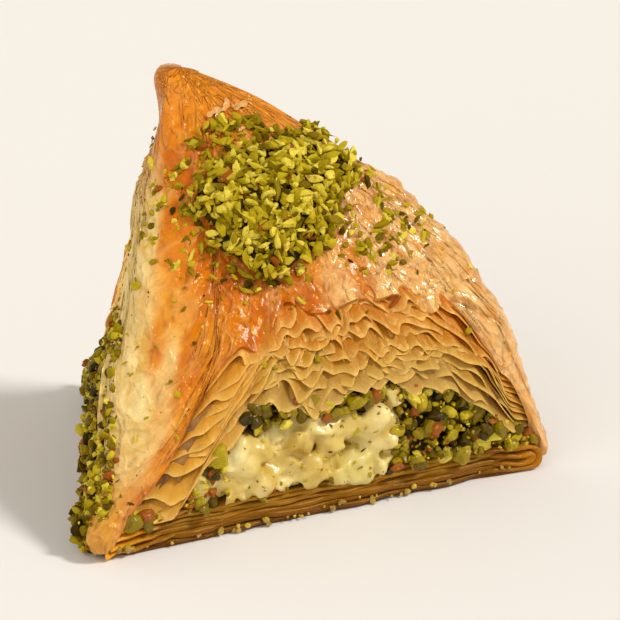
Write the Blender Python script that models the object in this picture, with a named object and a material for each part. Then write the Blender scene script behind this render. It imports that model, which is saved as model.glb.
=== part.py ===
"""A folded triangle of baklava: a domed stack of pastry leaves, open along its front and left sides,
with cream and chopped pistachio in the pocket and a heap of pistachio crumbs near the tip.

Metres, +Z up. The front mouth runs along X and faces -Y. The left side is open too, and the fold
closes the side at the right and back. Corner 0 is at the front left, 1 at the right, 2 at the back.
"""

import math

import bmesh
import bpy
from mathutils import Vector
from mathutils.bvhtree import BVHTree

# The triangle on its base, measured to the corners before they are rounded
FRONT_EDGE = 0.0690
LEFT_EDGE = 0.0570
CORNER_ANGLE = math.radians(66)
HEIGHT = 0.0520
TIP_X = 0.0294
TIP_Y = 0.0366

# How full each ridge is on its way up to the tip, as the two powers of a superellipse
RIDGES = ((0.8, 1.95), (1.3, 2.5), (1.0, 0.8))

# Outward bulge of the front, fold and left sides at half height
BULGES = (0.0026, 0.0008, -0.0004)

# Rounding of each corner as a share of its sides, at the foot and from LOW_PART of the height up
FOOT_ROUNDING = (0.060, 0.055, 0.070)
UPPER_ROUNDING = (0.260, 0.095, 0.160)
LOW_PART = 0.45
FOOT_ROUND = 0.0009
FOOT_SLANT = 0.6
BLUNT_LEVEL = 0.985

# The bottom leaves, the arch of the mouth above them and the lip where the crust starts
BOTTOM_THICKNESS = 0.0042
MOUTH_END = 0.0050
MOUTH_RISE = 0.0116
MOUTH_POWER = 3.4
MOUTH_LIMITS = (0.58, 0.88, 0.60)
LIP_END = 0.0090
LIP_RISE = (0.0176, 0.0, 0.0300)
LIP_POWER = 4.6

# The pocket, and the fillings inside it
FOLD_THICKNESS = 0.0046
CORNER_SHARE = (0.085, 0.050, 0.150)
POCKET_OVERSHOOT = 0.0060
ROOF_CLEARANCE = 0.0002
PIECE_GAP = 0.0003
SETBACKS = (0.0016, 0.0, -0.0008)
SETBACK_BLEND = 0.04
NUT_UNEVENNESS = 0.0006
CREAM_UNEVENNESS = 0.0004
FILLING_ROW = 0.0018
CREAM_CENTRE = (0.0285, 0.0130, 0.0106)
CREAM_RADII = (0.0180, 0.0165, 0.0078)
CREAM_LUMP = 0.08

# Lumps on the filling's open faces: turn of the wave for each step round and each metre up
FILLING_LUMPS = ((1.9, 1400.0), (0.83, -900.0))
# Swells of the cream: share, turn along each axis, and start
CREAM_SWELLS = ((0.5, (4.1, 3.7, 0.0), 1.0), (0.5, (4.1, -3.7, 0.0), 1.0), (0.6, (4.0, 6.3, 2.0), 0.0))

# Leaf edges that stand out along the open sides, and puffed waves on the crust
LEAF_COUNT = 8
LEAF_GROOVE = 0.0007
GROOVE_FADE = 6.0
CRUST_WAVE = 0.0004
# Puffed waves: share, waves round, turn from foot to tip, and start
CRUST_WAVES = ((1.0, 5, 7.0, 0.0), (0.7, 11, -13.0, 1.3))

# The heap of crumbs: its middle and half sizes as seen from above, and the lean of the crust under it
HEAP_CENTRE = (0.0354, 0.0171)
HEAP_RADII = (0.0106, 0.0068)
HEAP_LEAN = math.radians(42)
HEAP_RAGGEDNESS = ((3, 0.10, 0.6), (7, 0.07, 2.1))
HEAP_FULLNESS = 2.2
HEAP_THICKNESS = 0.0026
HEAP_EDGE = 0.0007
HEAP_RIPPLE = 0.0003

# Mesh steps
SIDE_STEPS = 17
CORNER_STEPS = 8
CRUST_STEPS = 15
POCKET_SECTORS = 54
POCKET_RINGS = 7

CORNERS = (
    Vector((0.0, 0.0)),
    Vector((FRONT_EDGE, 0.0)),
    LEFT_EDGE * Vector((math.cos(CORNER_ANGLE), math.sin(CORNER_ANGLE))),
)
TIP = Vector((TIP_X, TIP_Y))
FRONT, FOLD, LEFT = range(3)
AROUND = 3 * (SIDE_STEPS + CORNER_STEPS)
CORNER_PART = CORNER_STEPS / (SIDE_STEPS + CORNER_STEPS) / 2.0


def clear_scene():
    for obj in list(bpy.data.objects):
        bpy.data.objects.remove(obj)


def make_material(name, colour, roughness):
    material = bpy.data.materials.new(name)
    material.use_nodes = True
    shader = material.node_tree.nodes["Principled BSDF"]
    shader.inputs["Base Color"].default_value = (*colour, 1.0)
    shader.inputs["Roughness"].default_value = roughness
    shader.inputs["Metallic"].default_value = 0.0
    return material


def new_object(name, bm, material):
    bmesh.ops.recalc_face_normals(bm, faces=bm.faces)
    mesh = bpy.data.meshes.new(name)
    bm.to_mesh(mesh)
    bm.free()
    mesh.materials.append(material)
    obj = bpy.data.objects.new(name, mesh)
    bpy.context.scene.collection.objects.link(obj)
    return obj


def mix(low, high, share):
    return low + (high - low) * share


# ---------------------------------------------------------------- outline at one height


def ridge_reach(index, height):
    """How far out from the tip a ridge still is at this height: 1 at the base and 0 at the tip."""
    spread, rise = RIDGES[index]
    return max(0.0, 1.0 - (height / HEIGHT) ** rise) ** (1.0 / spread)


def ring_corners(height):
    return [TIP + (corner - TIP) * ridge_reach(index, height) for index, corner in enumerate(CORNERS)]


def rounding(corner, height):
    upper = min(1.0, height / HEIGHT / LOW_PART)
    return mix(FOOT_ROUNDING[corner], UPPER_ROUNDING[corner], upper)


def side_point(corners, side, share, height):
    """A point along one side of a ring, bowed outwards most at half height."""
    start, end = corners[side], corners[(side + 1) % 3]
    along = end - start
    if along.length < 1e-9:
        return start.copy()
    outward = Vector((along.y, -along.x)).normalized()
    bow = 4.0 * share * (1.0 - share) * math.sin(math.pi * min(1.0, height / HEIGHT))
    return start + along * share + outward * bow * BULGES[side]


def corner_point(corners, corner, progress, height):
    """A quadratic curve round a corner; progress 0 is on the side before it and 1 on the side after."""
    cut = rounding(corner, height)
    enter = side_point(corners, (corner + 2) % 3, 1.0 - cut, height)
    leave = side_point(corners, corner, cut, height)
    rest = 1.0 - progress
    return enter * rest**2 + corners[corner] * 2.0 * rest * progress + leave * progress**2


def ring_point(turn, height):
    """The pastry's outline at one height; turn runs from 0 to 1 from the front left corner."""
    corners = ring_corners(height)
    side = int(turn * 3.0) % 3
    share = turn * 3.0 - int(turn * 3.0)
    if share < CORNER_PART:
        return corner_point(corners, side, 0.5 + 0.5 * share / CORNER_PART, height)
    if share > 1.0 - CORNER_PART:
        progress = 0.5 * (share - 1.0 + CORNER_PART) / CORNER_PART
        return corner_point(corners, (side + 1) % 3, progress, height)
    start = rounding(side, height)
    end = 1.0 - rounding((side + 1) % 3, height)
    straight = (share - CORNER_PART) / (1.0 - 2.0 * CORNER_PART)
    return side_point(corners, side, mix(start, end, straight), height)


# ---------------------------------------------------------------- mouth, lip and leaf levels


def corner_shares(x, y):
    """Three shares, adding to 1, that say how near a point of the base is to each corner."""
    a, b, c = CORNERS
    area = (b - a).cross(c - a)
    point = Vector((x, y))
    share_b = max(0.0, (point - a).cross(c - a) / area)
    share_c = max(0.0, (b - a).cross(point - a) / area)
    share_a = max(0.0, 1.0 - share_b - share_c)
    total = share_a + share_b + share_c
    return share_a / total, share_b / total, share_c / total


def mouth_roof(x, y):
    """Height of the pocket's roof: level inside, and arched down to all three corners."""
    nearness = max((2.0 * share - 1.0) / limit for share, limit in zip(corner_shares(x, y), MOUTH_LIMITS))
    return MOUTH_END + MOUTH_RISE * (1.0 - min(1.0, max(0.0, nearness)) ** MOUTH_POWER)


def side_and_share(turn):
    """The side of the triangle under a turn, and how far along that side its foot lies."""
    side = int(turn * 3.0) % 3
    start, end = CORNERS[side], CORNERS[(side + 1) % 3]
    along = end - start
    share = (ring_point(turn, 0.0) - start).dot(along) / along.length_squared
    return side, min(1.0, max(0.0, share))


def first_leaf_height(turn):
    side, _ = side_and_share(turn)
    if side == FOLD:
        return MOUTH_END
    foot = ring_point(turn, 0.0)
    return mouth_roof(foot.x, foot.y)


def lip_height(turn):
    side, share = side_and_share(turn)
    return LIP_END + LIP_RISE[side] * (1.0 - abs(2.0 * share - 1.0) ** LIP_POWER)


def groove_fade(turn):
    side, share = side_and_share(turn)
    if side == FOLD:
        return 0.0
    return min(1.0, GROOVE_FADE * share * (1.0 - share))


def crust_wave(turn, height):
    """Shallow puffed waves over the baked crust, none at the foot and the tip."""
    around = math.tau * turn
    up = min(1.0, height / HEIGHT)
    waves = sum(
        share * math.sin(count * around + rise * up + start) for share, count, rise, start in CRUST_WAVES
    )
    return CRUST_WAVE * waves * math.sin(math.pi * up)


def surface_point(turn, height, groove=0.0):
    flat = ring_point(turn, height)
    inward = TIP - flat
    if inward.length > 1e-6:
        inward.normalize()
    depth = groove - crust_wave(turn, height)
    if height < FOOT_ROUND:
        depth += (FOOT_ROUND - height) * FOOT_SLANT
    return Vector((*(flat + inward * depth), height))


def ring_rows():
    """Each ring of the outside as a function of turn that gives its height and its groove depth."""
    for height in (0.0, FOOT_ROUND, BOTTOM_THICKNESS / 2, BOTTOM_THICKNESS):
        yield lambda turn, height=height: (height, 0.0)
    for step in range(2 * LEAF_COUNT + 1):
        level = step / (2 * LEAF_COUNT)
        groove = LEAF_GROOVE * (step % 2)
        yield lambda turn, level=level, groove=groove: (
            mix(first_leaf_height(turn), lip_height(turn), level),
            groove * groove_fade(turn),
        )
    for step in range(1, CRUST_STEPS + 1):
        level = BLUNT_LEVEL * math.sin(math.pi / 2 * step / CRUST_STEPS)
        yield lambda turn, level=level: (mix(lip_height(turn), HEIGHT, level), 0.0)


def make_dome(material):
    """The whole outside of the pastry, closed at the foot and over the tip."""
    bm = bmesh.new()
    turns = [step / AROUND for step in range(AROUND)]
    loops = [[bm.verts.new(surface_point(turn, *row(turn))) for turn in turns] for row in ring_rows()]
    close_loops(bm, loops)
    return new_object("pastry", bm, material)


# ---------------------------------------------------------------- pocket and fillings


def pocket_limits(shrink):
    """The pocket's plan as lines, each an outward normal and its distance from the triangle's middle."""
    middle = sum(CORNERS, Vector((0.0, 0.0))) / 3.0
    reaches = (POCKET_OVERSHOOT, -FOLD_THICKNESS - shrink, POCKET_OVERSHOOT)
    limits = []
    for side, reach in zip((FRONT, FOLD, LEFT), reaches):
        start, end = CORNERS[side], CORNERS[(side + 1) % 3]
        along = (end - start).normalized()
        normal = Vector((along.y, -along.x))
        limits.append((normal, (start - middle).dot(normal) + reach))
    for corner, share in enumerate(CORNER_SHARE):
        normal = (CORNERS[corner] - middle).normalized()
        reach = (CORNERS[corner] - middle).length
        limits.append((normal, reach * (1.0 - 1.5 * share) - shrink))
    return middle, limits


def close_loops(bm, loops):
    """Joins each loop of points to the next with faces, and fans the first and last shut."""
    count = len(loops[0])
    for lower, upper in zip(loops, loops[1:]):
        for step in range(count):
            follow = (step + 1) % count
            bm.faces.new((lower[step], lower[follow], upper[follow], upper[step]))
    for end in (loops[0], loops[-1]):
        middle = sum((vert.co for vert in end), Vector()) / count
        centre = bm.verts.new(middle)
        for step in range(count):
            bm.faces.new((end[step], end[(step + 1) % count], centre))


def make_pocket(name, shrink, material):
    """The space between bottom and dome as a solid that runs out past the two open sides."""
    middle, limits = pocket_limits(shrink)
    angles = [math.tau * sector / POCKET_SECTORS for sector in range(POCKET_SECTORS)]
    ways = [Vector((math.cos(angle), math.sin(angle))) for angle in angles]
    reaches = [
        min(distance / normal.dot(way) for normal, distance in limits if normal.dot(way) > 1e-6)
        for way in ways
    ]
    bm = bmesh.new()

    def loop(share, on_roof):
        verts = []
        for way, reach in zip(ways, reaches):
            x, y = middle + way * reach * share
            roof = mouth_roof(x, y) + ROOF_CLEARANCE - 2.0 * shrink
            verts.append(bm.verts.new((x, y, roof if on_roof else BOTTOM_THICKNESS + shrink)))
        return verts

    shares = [ring / POCKET_RINGS for ring in range(1, POCKET_RINGS + 1)]
    floor_loops = [loop(share, False) for share in shares]
    roof_loops = [loop(share, True) for share in reversed(shares)]
    close_loops(bm, floor_loops + roof_loops)
    return new_object(name, bm, material)


def setback(turn):
    """How far behind the leaf edges the filling stands at a turn, blended from side to side."""
    side = int(turn * 3.0) % 3
    share = turn * 3.0 - int(turn * 3.0)
    blend = 3.0 * SETBACK_BLEND
    if share > 1.0 - blend:
        return mix(SETBACKS[side], SETBACKS[(side + 1) % 3], 0.5 * (share - 1.0 + blend) / blend)
    if share < blend:
        return mix(SETBACKS[(side + 2) % 3], SETBACKS[side], 0.5 + 0.5 * share / blend)
    return SETBACKS[side]


def make_filling(name, unevenness, material):
    """The part of the pocket that a filling takes up, with lumpy faces where the sides are open."""
    bm = bmesh.new()
    loops = []
    height = FILLING_ROW
    while height < MOUTH_END + MOUTH_RISE + 2.0 * FILLING_ROW:
        loop = []
        for step in range(AROUND):
            turn = step / AROUND
            lumps = sum(math.sin(step * around + height * upward) for around, upward in FILLING_LUMPS)
            depth = setback(turn) + unevenness * lumps
            loop.append(bm.verts.new(surface_point(turn, height, depth)))
        loops.append(loop)
        height += FILLING_ROW
    close_loops(bm, loops)
    filling = new_object(name, bm, material)
    combine(filling, make_pocket("room", PIECE_GAP, material), "INTERSECT")
    return filling


def make_cream_lump(name, grow, material):
    """A soft round lump with a few shallow swells."""
    bm = bmesh.new()
    bmesh.ops.create_icosphere(bm, subdivisions=3, radius=1.0)
    for vert in bm.verts:
        swell = sum(share * math.sin(vert.co.dot(Vector(way)) + start) for share, way, start in CREAM_SWELLS)
        radii = Vector(radius * (1.0 + CREAM_LUMP * swell) + grow for radius in CREAM_RADII)
        vert.co = Vector(CREAM_CENTRE) + radii * vert.co
    return new_object(name, bm, material)


def combine(obj, other, operation):
    """Applies a Boolean of other to obj, and removes other."""
    modifier = obj.modifiers.new(operation.lower(), "BOOLEAN")
    modifier.operation = operation
    modifier.object = other
    graph = bpy.context.evaluated_depsgraph_get()
    made = bpy.data.meshes.new_from_object(obj.evaluated_get(graph))
    obj.modifiers.clear()
    old = obj.data
    obj.data = made
    bpy.data.meshes.remove(old)
    bpy.data.objects.remove(other)


# ---------------------------------------------------------------- heap of crumbs


def make_heap(pastry, material, sectors=40, rings=7):
    """A low mound with an uneven outline that follows the crust under it."""
    tree = BVHTree.FromPolygons(
        [vert.co for vert in pastry.data.vertices], [face.vertices for face in pastry.data.polygons]
    )
    outward = Vector((0.0, -math.sin(HEAP_LEAN), math.cos(HEAP_LEAN)))
    above = Vector((*HEAP_CENTRE, 2.0 * HEIGHT))
    bm = bmesh.new()

    def laid(share, angle, lift):
        ragged = 1.0 + sum(part * math.sin(lobes * angle + start) for lobes, part, start in HEAP_RAGGEDNESS)
        reach = ragged * share
        offset = Vector((HEAP_RADII[0] * math.cos(angle), HEAP_RADII[1] * math.sin(angle), 0.0)) * reach
        hit, normal, _, _ = tree.ray_cast(above + offset, Vector((0.0, 0.0, -1.0)))
        return bm.verts.new(hit + (normal + outward).normalized() * lift)

    def mound(share, angle):
        ripple = HEAP_RIPPLE * share * math.sin(5 * angle + 6 * share)
        return HEAP_EDGE + HEAP_THICKNESS * (1.0 - share**HEAP_FULLNESS) + ripple

    angles = [math.tau * sector / sectors for sector in range(sectors)]
    shares = [ring / rings for ring in range(1, rings + 1)]
    under = [[laid(share, angle, 2 * PIECE_GAP) for angle in angles] for share in shares]
    over = [
        [laid(share, angle, 2 * PIECE_GAP + mound(share, angle)) for angle in angles]
        for share in reversed(shares)
    ]
    close_loops(bm, under + over)
    return new_object("pistachio_heap", bm, material)


# ---------------------------------------------------------------- assembly


def centre_on_base(objects):
    """Puts the middle of the whole part's footprint at the origin."""
    points = [vert.co for obj in objects for vert in obj.data.vertices]
    low = Vector(min(point[axis] for point in points) for axis in range(3))
    high = Vector(max(point[axis] for point in points) for axis in range(3))
    shift = Vector((-(low.x + high.x) / 2, -(low.y + high.y) / 2, -low.z))
    for obj in objects:
        for vert in obj.data.vertices:
            vert.co += shift


def main():
    clear_scene()
    baked = make_material("baked_pastry", (0.78, 0.45, 0.15), 0.35)
    cream_white = make_material("cream_white", (0.90, 0.85, 0.62), 0.30)
    nut_green = make_material("nut_green", (0.27, 0.36, 0.06), 0.50)

    pastry = make_dome(baked)
    heap = make_heap(pastry, nut_green)
    combine(pastry, make_pocket("pocket", 0.0, baked), "DIFFERENCE")

    cream = make_cream_lump("cream", 0.0, cream_white)
    combine(cream, make_filling("cream_room", CREAM_UNEVENNESS, cream_white), "INTERSECT")
    nuts = make_filling("pistachio_filling", NUT_UNEVENNESS, nut_green)
    combine(nuts, make_cream_lump("cream_space", PIECE_GAP, nut_green), "DIFFERENCE")

    objects = (pastry, cream, nuts, heap)
    centre_on_base(objects)
    for obj in objects:
        obj.data.shade_flat()


main()
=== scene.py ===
"""The looks of a triangular baklava piece: glazed crust, frilled pastry leaves, cream and pistachio.

Laid out as a Blender add-on and run as a script: main() registers it and calls its operators in order.
"""

import math

import bpy
import numpy as np
from bpy.props import FloatProperty, IntProperty, PointerProperty
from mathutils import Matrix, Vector


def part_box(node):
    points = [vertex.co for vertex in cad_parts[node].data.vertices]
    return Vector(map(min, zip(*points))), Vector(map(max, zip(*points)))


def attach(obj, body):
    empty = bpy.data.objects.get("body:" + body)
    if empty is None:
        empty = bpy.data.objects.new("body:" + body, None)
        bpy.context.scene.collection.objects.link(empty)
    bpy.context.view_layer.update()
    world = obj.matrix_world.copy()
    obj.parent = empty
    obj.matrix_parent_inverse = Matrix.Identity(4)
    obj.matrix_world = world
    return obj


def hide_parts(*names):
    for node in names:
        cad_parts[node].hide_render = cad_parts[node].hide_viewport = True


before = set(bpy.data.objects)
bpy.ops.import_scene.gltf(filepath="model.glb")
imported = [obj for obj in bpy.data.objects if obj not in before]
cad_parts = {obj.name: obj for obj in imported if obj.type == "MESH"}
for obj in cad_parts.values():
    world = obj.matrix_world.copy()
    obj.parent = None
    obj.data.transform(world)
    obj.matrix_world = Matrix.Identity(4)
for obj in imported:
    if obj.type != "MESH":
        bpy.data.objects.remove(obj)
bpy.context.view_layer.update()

bl_info = {
    "name": "Baklava Piece",
    "version": (1, 0, 0),
    "blender": (4, 5, 0),
    "location": "View3D > Sidebar > Baklava",
    "description": "Builds a triangular baklava piece with cream and pistachio round its packed model",
    "category": "Add Mesh",
}

MM = 0.001
LOW, HIGH = (np.array(corner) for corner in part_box("pastry"))

# ---------------------------------------------------------------- the dome that every piece follows

CORNER_INSET = 1.215 * MM
RIGHT_INSET = 1.571 * MM
FRONT_BOW = 0.561 * MM
LEFT_EDGE = 57.0 * MM
CORNER_ANGLE = math.radians(66)
TIP_BLUNTING = 0.2 * MM
TIP_ROUND = 2.1 * MM
HEIGHT = HIGH[2] + TIP_BLUNTING

ORIGIN = np.array((LOW[0] - CORNER_INSET, LOW[1] + FRONT_BOW))
CORNERS = ORIGIN + np.array((
    (0.0, 0.0),
    (HIGH[0] + RIGHT_INSET - ORIGIN[0], 0.0),
    (LEFT_EDGE * math.cos(CORNER_ANGLE), LEFT_EDGE * math.sin(CORNER_ANGLE)),
))
TIP = ORIGIN + np.array((29.4, 36.6)) * MM
FRONT, FOLD, LEFT = range(3)
SIDE_LENGTHS = np.linalg.norm(np.roll(CORNERS, -1, 0) - CORNERS, axis=1)

# Fullness of the three ridges, bow of the three sides, and rounding of the corners as a share of a side
RIDGES = ((0.8, 1.95), (1.3, 2.5), (1.0, 0.8))
BOWS = np.array((2.6, 0.8, -0.4)) * MM
FOOT_ROUNDING = np.array((0.060, 0.055, 0.070))
UPPER_ROUNDING = np.array((0.260, 0.095, 0.160))
LOW_PART = 0.45
CORNER_PART = 0.16
RIDGE_EASE = np.array((-0.026, -0.013, 0.0, 0.013, 0.026))

# The arch of the mouth over the bottom leaves, and the lip of the crust above the leaf edges
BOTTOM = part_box("cream")[0][2] - 0.3 * MM
MOUTH_END, MOUTH_RISE, MOUTH_POWER = 5.0 * MM, 11.6 * MM, 3.4
MOUTH_LIMITS = np.array((0.58, 0.88, 0.60))
LIP_END, LIP_POWER = 9.0 * MM, 4.6
LIP_RISES = np.array((17.6, 0.0, 30.0)) * MM


def mix(low, high, share):
    return low + (high - low) * share


def smooth(low, high, value):
    """0 below low, 1 above high, and an S curve between them."""
    share = np.clip((value - low) / (high - low), 0.0, 1.0)
    return share * share * (3.0 - 2.0 * share)


def unit(vectors):
    return vectors / np.maximum(np.linalg.norm(vectors, axis=-1, keepdims=True), 1e-12)


def pick(values, side):
    """The value of each point's own side."""
    return np.take_along_axis(values, side[..., None, None], -2)[..., 0, :]


def side_point(corners, side, share, height):
    start, end = pick(corners, side), pick(corners, (side + 1) % 3)
    along = end - start
    outward = unit(np.stack((along[..., 1], -along[..., 0]), -1))
    bow = 4.0 * share * (1.0 - share) * np.sin(np.pi * np.clip(height / HEIGHT, 0.0, 1.0)) * BOWS[side]
    return start + along * share[..., None] + outward * bow[..., None]


def ring(turn, height):
    """The outline of the dome at a height; turn runs from 0 to 1 from the front left corner."""
    turn, height = np.broadcast_arrays(np.asarray(turn, float) % 1.0, height)
    up = np.clip(height / HEIGHT, 0.0, 1.0)
    reach = np.stack([(1.0 - up**rise) ** (1.0 / spread) for spread, rise in RIDGES], -1)
    corners = TIP + (CORNERS - TIP) * reach[..., None]
    side = (turn * 3.0).astype(int) % 3
    share = turn * 3.0 - np.floor(turn * 3.0)
    cuts = mix(FOOT_ROUNDING, UPPER_ROUNDING, np.clip(up / LOW_PART, 0.0, 1.0)[..., None])
    late = share > 1.0 - CORNER_PART
    corner = np.where(late, (side + 1) % 3, side)
    progress = np.where(late, 0.5 * (share - 1.0 + CORNER_PART), 0.5 * (CORNER_PART + share)) / CORNER_PART
    cut = np.take_along_axis(cuts, corner[..., None], -1)[..., 0]
    enter = side_point(corners, (corner + 2) % 3, 1.0 - cut, height)
    leave = side_point(corners, corner, cut, height)
    p = np.clip(progress, 0.0, 1.0)[..., None]
    bend = enter * (1 - p) ** 2 + pick(corners, corner) * 2 * (1 - p) * p + leave * p**2
    start = np.take_along_axis(cuts, side[..., None], -1)[..., 0]
    end = 1.0 - np.take_along_axis(cuts, ((side + 1) % 3)[..., None], -1)[..., 0]
    straight = np.clip((share - CORNER_PART) / (1.0 - 2.0 * CORNER_PART), 0.0, 1.0)
    flat = side_point(corners, side, mix(start, end, straight), height)
    return np.where((late | (share < CORNER_PART))[..., None], bend, flat)


def eased_ring(turn, height):
    """The outline with its ridges eased above the foot, and a blunt round tip."""
    ease = smooth(2 * MM, 14 * MM, np.asarray(height))
    flat = sum(ring(turn + offset * ease, height) for offset in RIDGE_EASE) / len(RIDGE_EASE)
    above = np.clip((height - HEIGHT + TIP_ROUND) / TIP_ROUND, 0.0, 1.0)
    least = TIP_ROUND * smooth(HEIGHT - 11 * MM, HEIGHT - 2 * MM, height) * np.sqrt(1.0 - above**2)
    out = flat - TIP
    reach = np.linalg.norm(out, axis=-1)
    return TIP + out * (np.sqrt(reach**2 + least**2) / np.maximum(reach, 1e-9))[..., None]


def shell(turn, height, depth=0.0):
    """A point of the dome, moved level towards the axis through its tip by depth."""
    turn, height, depth = np.broadcast_arrays(turn, height, depth)
    flat = eased_ring(turn, height)
    flat = flat + unit(TIP - flat) * depth[..., None]
    return np.concatenate((flat, height[..., None]), -1)


def side_share(turn):
    """Which side of the triangle a turn lies on, and how far along that side its foot is."""
    side = (np.asarray(turn) % 1.0 * 3.0).astype(int) % 3
    start, end = CORNERS[side], CORNERS[(side + 1) % 3]
    along = end - start
    share = ((ring(turn, 0.0) - start) * along).sum(-1) / (along * along).sum(-1)
    return side, np.clip(share, 0.0, 1.0)


def turn_at(side, share):
    """The turn whose foot lies at a share of the way along a side."""
    turns = np.linspace(side / 3.0, (side + 1.0) / 3.0 - 1e-6, 241)
    return np.interp(share, side_share(turns)[1], turns)


def roof_over(flat):
    """Height of the pocket's roof over a point of the base: level inside, arched down to the corners."""
    edges = np.array((CORNERS[1] - CORNERS[0], CORNERS[2] - CORNERS[0]))
    shares = (flat - CORNERS[0]) @ np.linalg.inv(edges)
    shares = np.concatenate((1.0 - shares.sum(-1, keepdims=True), shares), -1)
    nearness = np.clip(((2.0 * shares - 1.0) / MOUTH_LIMITS).max(-1), 0.0, 1.0)
    return MOUTH_END + MOUTH_RISE * (1.0 - nearness**MOUTH_POWER)


def roof_height(turn):
    """Where the pocket's roof meets the dome, found by going back and forth between the two."""
    height = np.full(np.shape(turn), MOUTH_END + 0.5 * MOUTH_RISE)
    for _ in range(8):
        height = mix(height, roof_over(ring(turn, height)), 0.7)
    return height


def lip_height(turn):
    side, share = side_share(turn)
    return LIP_END + LIP_RISES[side] * (1.0 - np.abs(2.0 * share - 1.0) ** LIP_POWER)


def openness(turn):
    """1 where the crust stops at its lip, and 0 on the fold side and the corners, where it reaches the floor."""
    side, share = side_share(turn)
    return smooth(0.035, 0.080, share) * smooth(0.020, 0.050, 1.0 - share) * (side != FOLD)


def spots_on_dome(turn, height, depth=0.0):
    """Places on the dome and the outward directions there."""
    nudge = 0.2 * MM
    turn, height, depth = np.broadcast_arrays(turn, height, depth)
    around = shell(turn + 0.002, height) - shell(turn - 0.002, height)
    upward = shell(turn, height + nudge) - shell(turn, height - nudge)
    outward = unit(np.cross(around, upward))
    return shell(turn, height) - outward * depth[..., None], outward


# ---------------------------------------------------------------- modelling helpers


def deselect_all():
    if bpy.context.object and bpy.context.object.mode != "OBJECT":
        bpy.ops.object.mode_set(mode="OBJECT")
    bpy.ops.object.select_all(action="DESELECT")


def activate(piece):
    deselect_all()
    piece.select_set(True)
    bpy.context.view_layer.objects.active = piece


def in_edit_mode(piece, *steps):
    """Runs edit mode operators, each an operator and its settings, on all of a piece."""
    activate(piece)
    bpy.ops.object.mode_set(mode="EDIT")
    bpy.ops.mesh.select_all(action="SELECT")
    for operator, settings in steps:
        operator(**settings)
    bpy.ops.object.mode_set(mode="OBJECT")


def apply_modifier(piece, kind, **settings):
    activate(piece)
    modifier = piece.modifiers.new(kind.title(), kind)
    for name, value in settings.items():
        setattr(modifier, name, value)
    bpy.ops.object.modifier_apply(modifier=modifier.name)


def points_of(piece):
    flat = np.empty(len(piece.data.vertices) * 3)
    piece.data.vertices.foreach_get("co", flat)
    return flat.reshape(-1, 3)


def faces_of(piece):
    return np.array([face.vertices[:] for face in piece.data.polygons])


def set_points(piece, points):
    piece.data.vertices.foreach_set("co", np.ascontiguousarray(points, float).ravel())
    piece.data.update()


def set_mark(piece, name, values):
    """Stores one number per point, for the materials to read."""
    mark = piece.data.attributes.get(name) or piece.data.attributes.new(name, "FLOAT", "POINT")
    mark.data.foreach_set("value", np.ascontiguousarray(values, np.float32).ravel())


def add_grid(name, columns, rows):
    deselect_all()
    bpy.ops.mesh.primitive_grid_add(x_subdivisions=columns, y_subdivisions=rows, size=1.0, location=(0, 0, 0))
    piece = bpy.context.object
    piece.name = piece.data.name = name
    return piece


def add_ball(detail):
    deselect_all()
    bpy.ops.mesh.primitive_ico_sphere_add(subdivisions=detail, radius=1.0, location=(0, 0, 0))
    return bpy.context.object


def lay_grid(piece, place):
    """Moves a grid's points to where place puts them. place gets shares across and up as tables."""
    points = points_of(piece)
    order = np.lexsort((points[:, 0], points[:, 1]))
    rows = int(round(len(points) / (points[:, 1] < -0.5 + 1e-6).sum()))
    across = (points[order, 0] + 0.5).reshape(rows, -1)
    up = (points[order, 1] + 0.5).reshape(rows, -1)
    placed, marks = place(across, up)
    points[order] = placed.reshape(-1, 3)
    set_points(piece, points)
    for name, values in marks.items():
        laid = np.empty(len(points))
        laid[order] = np.broadcast_to(values, up.shape).ravel()
        set_mark(piece, name, laid)


def close_seams(piece, distance=1e-6):
    in_edit_mode(
        piece,
        (bpy.ops.mesh.remove_doubles, {"threshold": distance}),
        (bpy.ops.mesh.normals_make_consistent, {"inside": False}),
    )


def join(name, pieces):
    activate(pieces[0])
    for piece in pieces[1:]:
        piece.select_set(True)
    bpy.ops.object.join()
    whole = bpy.context.object
    whole.name = whole.data.name = name
    return whole


def finish_piece(piece, material, replaced=None, smooth_below=60):
    piece.data.materials.clear()
    piece.data.materials.append(material)
    activate(piece)
    bpy.ops.object.shade_smooth_by_angle(angle=math.radians(smooth_below))
    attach(piece, "root")
    if replaced:
        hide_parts(replaced)


def core_of_node(name, node, shrink):
    """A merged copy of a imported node's mesh, drawn in to lie behind what covers it."""
    piece = bpy.data.objects.new(name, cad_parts[node].data.copy())
    bpy.context.scene.collection.objects.link(piece)
    piece.data.name = name
    close_seams(piece, 1e-5)
    in_edit_mode(piece, (bpy.ops.transform.shrink_fatten, {"value": -shrink}))
    return piece


def waves(points, size, seed, count=14):
    """Smooth unevenness between about -2 and 2, made of plane waves of about one size."""
    draw = np.random.default_rng(seed)
    ways = unit(draw.normal(size=(count, points.shape[-1])))
    ways *= 2.0 * np.pi / (size * draw.uniform(0.7, 1.4, (count, 1)))
    starts = draw.uniform(0.0, 2.0 * np.pi, count)
    return sum(np.sin(points @ way + start) for way, start in zip(ways, starts)) / math.sqrt(count / 2.0)


def grid_normals(points):
    """Outward normals of a table of points whose columns run round the dome and meet."""
    around = np.roll(points, -1, 1) - np.roll(points, 1, 1)
    around[:, 0] = points[:, 1] - points[:, -2]
    around[:, -1] = around[:, 0]
    return unit(np.cross(around, np.gradient(points, axis=0)))


# ---------------------------------------------------------------- scattered bits


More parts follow.
